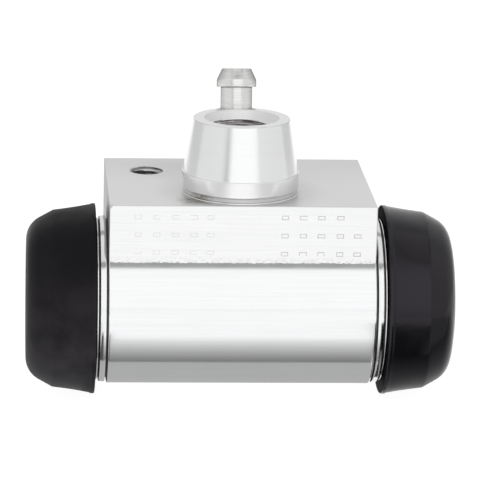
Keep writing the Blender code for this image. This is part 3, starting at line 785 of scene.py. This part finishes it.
class Nodes:
    """A node tree, with short ways to add and join nodes."""

    def __init__(self, tree, place):
        self.tree = tree
        self.place = self.add("ShaderNodeTexCoord").outputs[place]

    def add(self, kind, **settings):
        node = self.tree.nodes.new(kind)
        for key, value in settings.items():
            setattr(node, key, value)
        return node

    def feed(self, socket, value):
        if isinstance(value, bpy.types.NodeSocket):
            self.tree.links.new(value, socket)
        else:
            socket.default_value = value

    def maths(self, operation, first, second=0.0, clamp=False):
        node = self.add("ShaderNodeMath", operation=operation, use_clamp=clamp)
        self.feed(node.inputs[0], first)
        self.feed(node.inputs[1], second)
        return node.outputs[0]

    def vector(self, operation, first, second=(0.0, 0.0, 0.0)):
        node = self.add("ShaderNodeVectorMath", operation=operation)
        self.feed(node.inputs[0], first)
        self.feed(node.inputs[1], second)
        single = operation in ("LENGTH", "DISTANCE", "DOT_PRODUCT")
        return node.outputs["Value" if single else "Vector"]

    def noise(self, place, scale, detail=3.0, roughness=0.55):
        node = self.add("ShaderNodeTexNoise")
        self.feed(node.inputs["Vector"], place)
        node.inputs["Scale"].default_value = scale
        node.inputs["Detail"].default_value = detail
        node.inputs["Roughness"].default_value = roughness
        return node.outputs["Fac"]

    def spread(self, value, low, high, from_low=0.3, from_high=0.7, ease="LINEAR"):
        """Maps a range, by default the usual one of a noise, to low..high."""
        node = self.add("ShaderNodeMapRange", interpolation_type=ease)
        self.feed(node.inputs["Value"], value)
        node.inputs["From Min"].default_value = from_low
        node.inputs["From Max"].default_value = from_high
        node.inputs["To Min"].default_value = low
        node.inputs["To Max"].default_value = high
        return node.outputs["Result"]

    def mix(self, share, first, second):
        """A share of the second colour in the first. Sockets 6, 7 and 2 are the node's colour ones."""
        node = self.add("ShaderNodeMix", data_type="RGBA")
        self.feed(node.inputs[0], share)
        self.feed(node.inputs[6], first)
        self.feed(node.inputs[7], second)
        return node.outputs[2]

    def parts(self):
        node = self.add("ShaderNodeSeparateXYZ")
        self.feed(node.inputs[0], self.place)
        return node.outputs


class Paint(Nodes):
    """A material's nodes."""

    def __init__(self, name, colour, metallic, roughness):
        self.material = bpy.data.materials.new(name)
        self.material.use_nodes = True
        super().__init__(self.material.node_tree, "Object")
        self.shader = self.tree.nodes["Principled BSDF"]
        self.shader.inputs["Base Color"].default_value = (*colour, 1.0)
        self.shader.inputs["Metallic"].default_value = metallic
        self.shader.inputs["Roughness"].default_value = roughness

    def colour(self, value):
        self.feed(self.shader.inputs["Base Color"], value)

    def bump(self, heights, distance, strength=1.0):
        node = self.add("ShaderNodeBump")
        self.feed(node.inputs["Height"], heights)
        node.inputs["Distance"].default_value = distance
        node.inputs["Strength"].default_value = strength
        self.feed(self.shader.inputs["Normal"], node.outputs["Normal"])


# The share and the scale of a metal's patches, and the stretches of the noise that make its fine lines.
# RINGS stands for a face milled in rings about the boss.
USUAL_BLOTCH = 0.25
PATCH_SCALE = 180.0
ALONG = (0.02, 1.0, 1.0)
ACROSS = (1.0, 0.01, 0.01)
UPRIGHT = (0.01, 0.01, 1.0)
SAWN = (1.0, 0.03, 1.0)
EVEN = (1.0, 1.0, 1.0)
RINGS = "rings"

# Stains and painted shade: their places, shares, reaches and colours
DIRT = (-0.0078, -0.0068, 0.0)
DIRT_REACH = 0.0034
DIRT_BROWN = (0.26, 0.23, 0.18, 1.0)
TORN_REACH = 0.0011
TORN_GREY = (0.58, 0.58, 0.57, 1.0)
# Painted shade on the milled face: close round the boss, towards its back, and between its hole and the boss
RING_SHARE = 0.44
RING_REACH = 0.0060
BACK_SHARE = 0.34
BACK_START = 0.004
BACK_FULL = 0.020
SPOT = (-0.0105, 0.0150, 0.0)
SPOT_SHARE = 0.32
SPOT_FULL = 0.002
SPOT_REACH = 0.010
PAINTED_SHADE_GREY = (0.60, 0.60, 0.60, 1.0)
SHADOW_GREY = (0.30, 0.30, 0.30, 1.0)


def near_point(nodes, point, reach):
    """1 at a point, falling to 0 at reach from it."""
    away = nodes.vector("DISTANCE", nodes.place, point)
    return nodes.spread(away, 1.0, 0.0, 0.0, reach)


def torn(nodes):
    """Share and colour of the dull torn metal along the front face's lower edge."""
    low = nodes.spread(nodes.parts()["Z"], 1.0, 0.0, FRONT_FOOT, FRONT_FOOT + TORN_REACH)
    flecks = nodes.noise(nodes.vector("MULTIPLY", nodes.place, (0.6, 1.0, 1.0)), 2600.0, 3.0)
    share = nodes.maths("MULTIPLY", low, nodes.spread(flecks, 0.0, 0.7, 0.42, 0.68), clamp=True)
    return share, TORN_GREY


def dirt(nodes):
    """Share and colour of the brown dirt caught at the boss's foot, on its left and front."""
    patch = near_point(nodes, DIRT, DIRT_REACH)
    flecks = nodes.noise(nodes.place, 1500.0, 4.0, 0.7)
    share = nodes.maths("MULTIPLY", patch, nodes.spread(flecks, 0.0, 1.4, 0.38, 0.60), clamp=True)
    return share, DIRT_BROWN


def from_upright(nodes, centre=(0.0, 0.0, 0.0)):
    """Distance from an upright axis through a point of the mounting face, by default the boss's."""
    flat = nodes.vector("MULTIPLY", nodes.place, (1.0, 1.0, 0.0))
    return nodes.vector("LENGTH", nodes.vector("SUBTRACT", flat, centre))


def painted_shade_round_boss(nodes):
    """Share and colour of the painted shade on the milled face close round the boss, where the boss shades
    it.
    """
    share = nodes.spread(from_upright(nodes), RING_SHARE, 0.0, BOSS, BOSS + RING_REACH, "SMOOTHSTEP")
    return share, PAINTED_SHADE_GREY


def painted_shade_back_and_spot(nodes):
    """Share and colour of the milled face's painted shade: towards its back, and between its hole and the
    boss.
    """
    back = nodes.spread(nodes.parts()["Y"], 0.0, BACK_SHARE, BACK_START, BACK_FULL)
    spot = nodes.spread(from_upright(nodes, SPOT), SPOT_SHARE, 0.0, SPOT_FULL, SPOT_REACH, "SMOOTHSTEP")
    return nodes.maths("ADD", back, spot), PAINTED_SHADE_GREY


def painted_shade_under_head(nodes):
    """Share and colour of the painted shade: a dark line where the nipple's head meets its neck and shades
    it.
    """
    from_foot = nodes.vector("SUBTRACT", nodes.place, (BLEED_X, BLEED_Y, 0.0))
    height = nodes.vector("DOT_PRODUCT", from_foot, (0.0, sin(BLEED_TILT), cos(BLEED_TILT)))
    away = nodes.maths("ABSOLUTE", nodes.maths("SUBTRACT", height, LAND_BOTTOM - SHADOW_LINE))
    return nodes.spread(away, 0.9, 0.0, SHADOW_LINE / 2, 1.6 * SHADOW_LINE), SHADOW_GREY


def line_place(nodes, stretch):
    """Coordinates in which a noise becomes fine lines, or rings about the boss."""
    if stretch != RINGS:
        return nodes.vector("MULTIPLY", nodes.place, stretch)
    made = nodes.add("ShaderNodeCombineXYZ")
    nodes.feed(made.inputs["X"], from_upright(nodes))
    return made.outputs[0]


def metal(name, bright, dull, roughness, stretch, line_scale, line_bump, blotch=USUAL_BLOTCH, stains_and_shade=(),
          edge=None):
    """Bare metal: fine machining or drawing lines, soft changes of tone and gloss, and any dirt, torn metal
    or painted shade laid on it. edge is its tint where it is seen at a slant."""
    nodes = Paint(name, bright, 1.0, roughness)
    if edge:
        nodes.shader.inputs["Specular Tint"].default_value = (*edge, 1.0)
    lines = nodes.noise(line_place(nodes, stretch), line_scale, 4.0, 0.65)
    patches = nodes.noise(nodes.place, PATCH_SCALE, 4.0)
    tone = nodes.maths("ADD", nodes.maths("MULTIPLY", nodes.spread(lines, 0.0, 1.0), 1.0 - blotch),
                       nodes.maths("MULTIPLY", nodes.spread(patches, 0.0, 1.0), blotch), clamp=True)
    shade = nodes.mix(tone, (*dull, 1.0), (*bright, 1.0))
    for stain_or_shade in stains_and_shade:
        share, colour = stain_or_shade(nodes)
        shade = nodes.mix(share, shade, colour)
    nodes.colour(shade)
    uneven = min(blotch, USUAL_BLOTCH)
    nodes.feed(nodes.shader.inputs["Roughness"],
               nodes.spread(patches, roughness * (1 - 0.6 * uneven), roughness * (1 + 0.8 * uneven)))
    nodes.bump(lines, line_bump)
    return nodes.material


def grey(tone):
    return (tone, tone, tone)


# Metals: the bright and the dull tone, the roughness, and the fine lines' stretch, scale and relief
ALLOY = (0.865, 0.87, 0.875)
BODY_METALS = {
    "drawn": (ALLOY, (0.81, 0.815, 0.82), 0.13, ALONG, 2600.0, 0.0000012),
    "front": ((0.865, 0.867, 0.87), (0.80, 0.802, 0.805), 0.16, ALONG, 2600.0, 0.0000012),
    "sawn": (grey(0.52), grey(0.40), 0.50, SAWN, 1800.0, 0.000006),
    "milled": (grey(0.84), grey(0.77), 0.42, RINGS, 2200.0, 0.000003),
    "neck": (ALLOY, (0.78, 0.785, 0.79), 0.13, ACROSS, 5000.0, 0.0000006),
    "boss": ((0.875, 0.878, 0.885), (0.85, 0.853, 0.86), 0.20, UPRIGHT, 4200.0, 0.0000001),
    # Lighter than the boss: a painted highlight in the countersink.
    "sink": (grey(0.95), grey(0.89), 0.42, UPRIGHT, 4200.0, 0.000001),
    "band": ((0.87, 0.87, 0.88), (0.82, 0.82, 0.83), 0.22, UPRIGHT, 4200.0, 0.0000004),
    # Darker than the band: painted shade in the recess at the boss's foot.
    "foot": (grey(0.80), (0.66, 0.66, 0.65), 0.5, UPRIGHT, 4200.0, 0.000002),
    # Darker, warm metal: painted shade on the walls of the bore and the port.
    "bore": ((0.50, 0.47, 0.47), (0.28, 0.255, 0.26), 0.30, EVEN, 700.0, 0.000003),
    "thread": (grey(0.70), grey(0.55), 0.34, UPRIGHT, 4200.0, 0.000002),
    # Darker metal in the mounting hole: painted shade below its top turns and just under its mouth.
    "deep": (grey(0.42), grey(0.14), 0.45, EVEN, 900.0, 0.000003),
    "shade": (grey(0.34), grey(0.24), 0.45, EVEN, 900.0, 0.000003),
    # Dark metal: painted shade in the necks' recesses.
    "groove": ((0.20, 0.195, 0.19), (0.08, 0.075, 0.07), 0.5, EVEN, 900.0, 0.000003),
    "stamped": (grey(0.70), grey(0.50), 0.45, EVEN, 1500.0, 0.000003),
    "faint": (grey(0.86), grey(0.66), 0.40, EVEN, 1500.0, 0.000002),
}
PLATED_STEEL = ((0.86, 0.86, 0.85), (0.70, 0.70, 0.685), 0.27, (0.02, 0.02, 1.0), 5200.0, 0.0000015)
ANODISED = ((0.60, 0.58, 0.52), (0.48, 0.46, 0.41), 0.32, (1.0, 0.02, 0.02), 5200.0, 0.000003)
SPRING_WIRE = ((0.36, 0.37, 0.39), (0.24, 0.25, 0.27), 0.35, EVEN, 900.0, 0.000002)
SCREW_EDGE = (0.22, 0.22, 0.21)

# How blotchy the sawn and the milled faces are, and which zones have dirt, torn metal or painted shade
BLOTCHES = {"sawn": 0.02, "milled": 0.6}
STAINS_AND_SHADE = {"front": [torn], "milled": [painted_shade_round_boss, painted_shade_back_and_spot, dirt], "foot": [dirt]}

# Rubber: its black, its dust, each piece's roughness, shine, dust and how far the dust has settled, and the
# scales and relief of its grain
BOOT_BLACK = (0.0020, 0.0018, 0.0027)
DUST = (0.0046, 0.0042, 0.0056)
HEAVY_DUST = (0.0260, 0.0240, 0.0270)
BOOT_FINISH = {"left": (0.46, 0.13, HEAVY_DUST, 1.0), "right": (0.21, 0.40, DUST, 0.0)}
BOOT_FACE = (0.60, 0.03, DUST, 0.0)
CUP_FINISH = (0.34, 0.20, DUST, 0.0)
RUBBER_TINT = (0.97, 0.90, 1.0, 1.0)
SKIN_SCALE = 5200.0
RIPPLE_SCALE = 2300.0
FOLD_SCALE = 420.0
DUST_SCALE = 150.0
RUBBER_RELIEF = 0.00003


def body_materials():
    """One material for each zone that body_zone names."""
    return {zone: metal(f"alloy_{zone}", *values, BLOTCHES.get(zone, USUAL_BLOTCH), STAINS_AND_SHADE.get(zone, ()))
            for zone, values in BODY_METALS.items()}


def rubber(name, seed, gloss, shine, dusty, settled):
    """Black moulded rubber: a fine skin, small ripples, soft wrinkles and dull dusty patches. Settled dust
    lies only towards the underside."""
    nodes = Paint(name, BOOT_BLACK, 0.0, gloss)
    skin = nodes.noise(nodes.place, SKIN_SCALE, 2.0)
    ripples = nodes.noise(nodes.place, RIPPLE_SCALE, 2.0)
    folds = nodes.noise(nodes.vector("MULTIPLY", nodes.place, (1.0, 0.5, 0.5)), FOLD_SCALE, 3.0)
    dust = nodes.noise(nodes.vector("ADD", nodes.place, (seed, 0, 0)), DUST_SCALE, 4.0)
    share = nodes.spread(dust, 0.3, 1.0, 0.38, 0.66)
    low = nodes.spread(nodes.parts()["Z"], 1.0, 1.0 - settled, -BORE_DEPTH - LIP / 2, -BORE_DEPTH + LIP,
                       "SMOOTHSTEP")
    share = nodes.maths("MULTIPLY", share, low)
    nodes.colour(nodes.mix(share, (*BOOT_BLACK, 1.0), (*dusty, 1.0)))
    nodes.feed(nodes.shader.inputs["Roughness"], nodes.spread(dust, gloss * 0.85, gloss * 1.25))
    nodes.shader.inputs["Specular IOR Level"].default_value = shine
    nodes.shader.inputs["Specular Tint"].default_value = RUBBER_TINT
    fine = nodes.maths("ADD", nodes.maths("MULTIPLY", skin, 0.05), nodes.maths("MULTIPLY", ripples, 0.40))
    nodes.bump(nodes.maths("ADD", folds, fine), RUBBER_RELIEF)
    return nodes.material


def paint(item, material):
    item.data.materials.clear()
    item.data.materials.append(material)


def softbox(name, place, target, width, height, radiance):
    """A large area light. Its power gives the named brightness of its face."""
    data = bpy.data.lights.new(name, "AREA")
    data.shape = "RECTANGLE"
    data.size = width
    data.size_y = height
    data.energy = radiance * width * height * pi
    made = bpy.data.objects.new(name, data)
    bpy.context.scene.collection.objects.link(made)
    made.location = place
    made.rotation_mode = "QUATERNION"
    made.rotation_quaternion = (Vector(target) - Vector(place)).to_track_quat("-Z", "Y")
    return made


# Studio, in metres and in brightness, where 1 is white paper. A light adds to the wall behind it.
BOX_DISTANCE = 2.0
BOX_TOP = radians(56.8)
BOX_WIDTH = 2.3
BOX_ASIDE = 0.11
BOX_RADIANCE = 0.32
LID_HEIGHT = 1.6
LID_WIDTH = 1.4
LID_RADIANCE = 0.50
SURROUND = 0.81
CEILING = 0.36
WALL_END = 0.828
CEILING_START = 0.842
FLOOR_GLOW = 0.95
FLOOR_HALF = 4.0
FLOOR_Z = -BORE_DEPTH - LIP - 0.0002
CARD_Z = FLOOR_Z + 0.0001
FLAG_TOP = 0.55

# The floor cards' shared edges, in X and then in Y
LEFT = -0.0262
RIGHT = 0.0224
FAR_RIGHT = 0.1200
BEHIND = 0.0300
MIDDLE = -0.0130
NEAR = -0.0295
SIDE_MID = -0.0190
SIDE_LOW = -0.0620

# Glowing cards on the floor that only reflections show: painted reflections, whose darker parts are painted
# shade of the floor under the part. Four corners, and the brightness at the first and the last.
# In turn: the barrel's two, the left neck's two, the left boot's, the right side's four, the boss band's two.
# They aren't part of the object. The camera never sees them, and they cast no shadow.
REFLECTION_CARDS = (
    ((-0.0210, NEAR), (0.0239, NEAR), (RIGHT, MIDDLE), (-0.0219, MIDDLE), 1.04, 0.20),
    ((LEFT, MIDDLE), (RIGHT, MIDDLE), (RIGHT, BEHIND), (LEFT, BEHIND), 0.47, 0.47),
    ((LEFT, -0.0360), (-0.0207, -0.0360), (-0.0210, NEAR), (LEFT, NEAR), 0.80, 0.10),
    ((LEFT, NEAR), (-0.0210, NEAR), (-0.0219, MIDDLE), (LEFT, MIDDLE), 0.10, 0.09),
    ((-0.0800, SIDE_LOW), (LEFT, SIDE_LOW), (LEFT, BEHIND), (-0.0800, BEHIND), 1.00, 0.60),
    ((0.0277, SIDE_LOW), (0.0530, SIDE_LOW), (0.0335, SIDE_MID), (0.0229, SIDE_MID), 0.0, 0.0),
    ((0.0530, SIDE_LOW), (FAR_RIGHT, SIDE_LOW), (FAR_RIGHT, SIDE_MID), (0.0335, SIDE_MID), 0.45, 0.45),
    ((0.0229, SIDE_MID), (0.0240, SIDE_MID), (0.0240, -0.0050), (RIGHT, -0.0050), 0.02, 0.02),
    ((0.0240, SIDE_MID), (FAR_RIGHT, SIDE_MID), (FAR_RIGHT, BEHIND), (0.0240, BEHIND), 0.05, 1.60),
    ((-0.4000, -0.3500), (-0.0730, -0.3500), (-0.0730, -0.0700), (-0.4000, -0.0700), 0.72, 0.72),
    ((0.0730, -0.3500), (0.4000, -0.3500), (0.4000, -0.0700), (0.0730, -0.0700), 0.72, 0.72),
)

# Upright flags on the floor that only reflections show: painted reflections, darker and lighter streaks
# in the part's reflections. The two ends of the foot, and the brightness at each. In turn: three for the
# boss and two for its sides.
REFLECTION_FLAGS = (
    ((-0.188, 0.353), (-0.394, 0.069), 0.58, 0.66),
    ((0.188, 0.353), (0.394, 0.069), 0.58, 0.66),
    ((-0.285, -0.505), (-0.345, -0.465), 0.40, 0.60),
    ((-0.310, -0.345), (-0.450, 0.060), 0.86, 0.80),
    ((0.310, -0.345), (0.450, 0.060), 0.86, 0.80),
)


def make_surround():
    """A white tent with a darker top."""
    world = bpy.data.worlds.new("studio")
    bpy.context.scene.world = world
    world.use_nodes = True
    nodes = Nodes(world.node_tree, "Generated")
    walls = nodes.spread(nodes.parts()["Z"], SURROUND, CEILING, WALL_END, CEILING_START, "SMOOTHSTEP")
    background = nodes.tree.nodes["Background"]
    background.inputs["Color"].default_value = (1, 1, 1, 1)
    nodes.feed(background.inputs["Strength"], walls)


def make_reflection_card(name, corners, axis, near, far):
    """A glowing grey card that shows only in the part's reflections: a painted reflection, and painted shade
    where it is dark. Its brightness goes from near at the first corner to far at the last one, along an axis."""
    shape = bmesh.new()
    shape.faces.new([shape.verts.new(corner) for corner in corners])
    card = add_object(name, shape)
    nodes = Paint(f"{name}_paper", (0, 0, 0), 0.0, 1.0)
    nodes.shader.inputs["Specular IOR Level"].default_value = 0.0
    nodes.shader.inputs["Emission Color"].default_value = (1, 1, 1, 1)
    first, last = corners[0]["XY".index(axis)], corners[-1]["XY".index(axis)]
    nodes.feed(nodes.shader.inputs["Emission Strength"],
               nodes.spread(nodes.parts()[axis], near, far, first, last))
    paint(card, nodes.material)
    card.visible_camera = False
    card.visible_diffuse = False
    card.visible_shadow = False


def make_studio():
    """A plain white floor and surround, the cards and flags of painted reflection, and a soft box in front
    and overhead.
    """
    shape = bmesh.new()
    bmesh.ops.create_grid(shape, x_segments=1, y_segments=1, size=FLOOR_HALF)
    floor = add_object("floor", shape)
    floor.location = (0, 0, FLOOR_Z)
    nodes = Paint("floor_paper", (0.20, 0.20, 0.20), 0.0, 0.9)
    nodes.shader.inputs["Specular IOR Level"].default_value = 0.0
    nodes.shader.inputs["Emission Color"].default_value = (1, 1, 1, 1)
    nodes.shader.inputs["Emission Strength"].default_value = FLOOR_GLOW
    paint(floor, nodes.material)
    make_surround()
    for index, (*corners, near, far) in enumerate(REFLECTION_CARDS):
        make_reflection_card(f"card_{index}", [(x, y, CARD_Z) for x, y in corners], "Y", near, far)
    for index, (inner, outer, near, far) in enumerate(REFLECTION_FLAGS):
        corners = ((*inner, FLOOR_Z), (*inner, FLAG_TOP), (*outer, FLAG_TOP), (*outer, FLOOR_Z))
        make_reflection_card(f"flag_{index}", corners, "X", near, far)
    height = 2 * BOX_DISTANCE * sin(BOX_TOP / 2) / cos(BOX_TOP / 2)
    place = (BOX_ASIDE, -BOX_DISTANCE * cos(BOX_TOP / 2), BOX_DISTANCE * sin(BOX_TOP / 2))
    softbox("front_box", place, (0, 0, 0), BOX_WIDTH, height, BOX_RADIANCE)
    softbox("top_box", (0, 0, LID_HEIGHT), (0, 0, 0), LID_WIDTH, LID_WIDTH, LID_RADIANCE)
    bpy.context.scene.view_settings.view_transform = "Standard"


def dress_body():
    body = make_body()
    assign(body, body_materials(), body_zone)
    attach(body, "housing")
    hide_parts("body")


def dress_bleed_screw():
    screw = make_bleed_screw()
    # The bleed screw's steel carries the painted shade line under the nipple's head.
    paint(screw, metal("bleed_screw_steel", *PLATED_STEEL, stains_and_shade=[painted_shade_under_head], edge=SCREW_EDGE))
    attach(screw, "bleeder")
    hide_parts("bleed_screw")


def dress_boot(side, word):
    """Builds the boot, gives its skin and its lip's faces their rubbers, and hides the imported boot."""
    boot = make_boot(side)
    finishes = {"skin": rubber(f"boot_rubber_{word}", 0.3 * side, *BOOT_FINISH[word]),
                "face": rubber(f"boot_face_{word}", 0.3 * side, *BOOT_FACE)}
    assign(boot, finishes, lambda centre, _: "face" if abs(centre.x) < LIP_FACE_END else "skin")
    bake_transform(boot)
    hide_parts(f"boot_{word}")


def dress_cup(side, word, cup_rubber):
    cup = make_cup(side)
    paint(cup, cup_rubber)
    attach(cup, f"{word}_piston")
    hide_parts(f"cup_seal_{word}")


def dress_spring_half(side, spring_wire):
    half = make_spring_half(side)
    paint(half, spring_wire)
    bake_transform(half)
    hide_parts("return_spring")


def dress():
    """Builds every visible piece and gives it its material, and ties the body, the bleed screw and the cups
    to the bodies they move with.
    """
    dress_body()
    dress_bleed_screw()
    steel = metal("plated_steel", *PLATED_STEEL)
    anodised = metal("piston_anodised", *ANODISED)
    spring_wire = metal("spring_wire", *SPRING_WIRE)
    cup_rubber = rubber("cup_rubber", 0.0, *CUP_FINISH)
    for side, word in ((-1, "left"), (1, "right")):
        dress_boot(side, word)
        dress_cup(side, word, cup_rubber)
        dress_spring_half(side, spring_wire)
        paint(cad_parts[f"piston_{word}"], anodised)
        paint(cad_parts[f"cup_expander_{word}"], steel)


make_camera()
make_studio()
dress()
